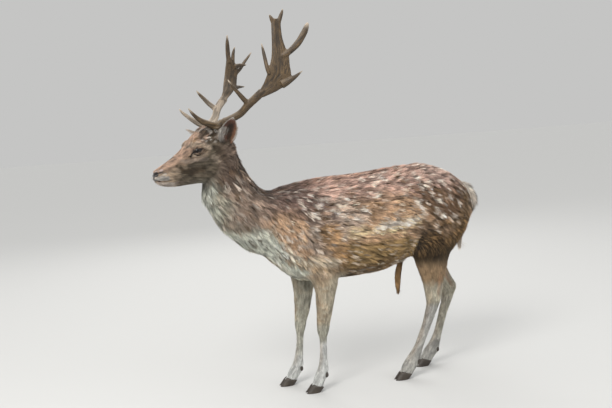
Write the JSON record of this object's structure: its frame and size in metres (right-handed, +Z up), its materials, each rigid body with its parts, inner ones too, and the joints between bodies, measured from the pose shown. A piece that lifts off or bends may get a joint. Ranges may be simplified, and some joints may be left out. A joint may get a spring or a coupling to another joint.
{
  "type": "fallow deer",
  "caption": "Standing fallow deer buck with palmate antlers, four legs on the ground and its head turned a little to its left, as a life-size animal model",
  "frame": {"origin": "on the floor under the middle of the whole deer", "axes": "+Z up, -X the way the deer faces, -Y its left side"},
  "size_m": [1.4348, 0.524, 1.6097],
  "materials": {
    "coat_brown": "grey-brown moulting coat with pale spots and dark flecks",
    "coat_pale": "short cream-white hair",
    "coat_dark": "dark brown hair",
    "antler": "grained brown antler with paler tips",
    "hoof": "dark keratin",
    "nose": "moist black pebbled skin",
    "eye": "dark wet eye"
  },
  "bodies": {
    "root": {"antler_left_beam": "antler", "antler_left_brow_tine": "antler", "antler_left_front_tine": "antler", "antler_left_palm": "antler", "antler_left_rear_finger": "antler", "antler_left_rear_spur": "antler", "antler_left_top_front": "antler", "antler_left_top_rear": "antler", "antler_left_trez_tine": "antler", "antler_right_beam": "antler", "antler_right_brow_tine": "antler", "antler_right_palm": "antler", "antler_right_rear_finger": "antler", "antler_right_rear_point": "antler", "antler_right_rear_spur": "antler", "antler_right_top_front": "antler", "antler_right_top_rear": "antler", "antler_right_trez_tine": "antler", "dewclaw_front_left_inner": "hoof", "dewclaw_front_left_outer": "hoof", "dewclaw_front_right_inner": "hoof", "dewclaw_front_right_outer": "hoof", "dewclaw_hind_left_inner": "hoof", "dewclaw_hind_left_outer": "hoof", "dewclaw_hind_right_inner": "hoof", "dewclaw_hind_right_outer": "hoof", "ear_left": "coat_brown", "ear_right": "coat_brown", "eye_left": "eye", "eye_right": "eye", "head": "coat_brown", "hoof_front_left_inner": "hoof", "hoof_front_left_outer": "hoof", "hoof_front_right_inner": "hoof", "hoof_front_right_outer": "hoof", "hoof_hind_left_inner": "hoof", "hoof_hind_left_outer": "hoof", "hoof_hind_right_inner": "hoof", "hoof_hind_right_outer": "hoof", "lower_jaw": "coat_pale", "lower_leg_front_left": "coat_pale", "lower_leg_front_right": "coat_pale", "lower_leg_hind_left": "coat_pale", "lower_leg_hind_right": "coat_pale", "neck": "coat_brown", "nose_pad": "nose", "sheath": "coat_dark", "tail": "coat_dark", "trunk": "coat_brown", "upper_leg_front_left": "coat_brown", "upper_leg_front_right": "coat_brown", "upper_leg_hind_left": "coat_brown", "upper_leg_hind_right": "coat_brown"}
  },
  "joints": []
}
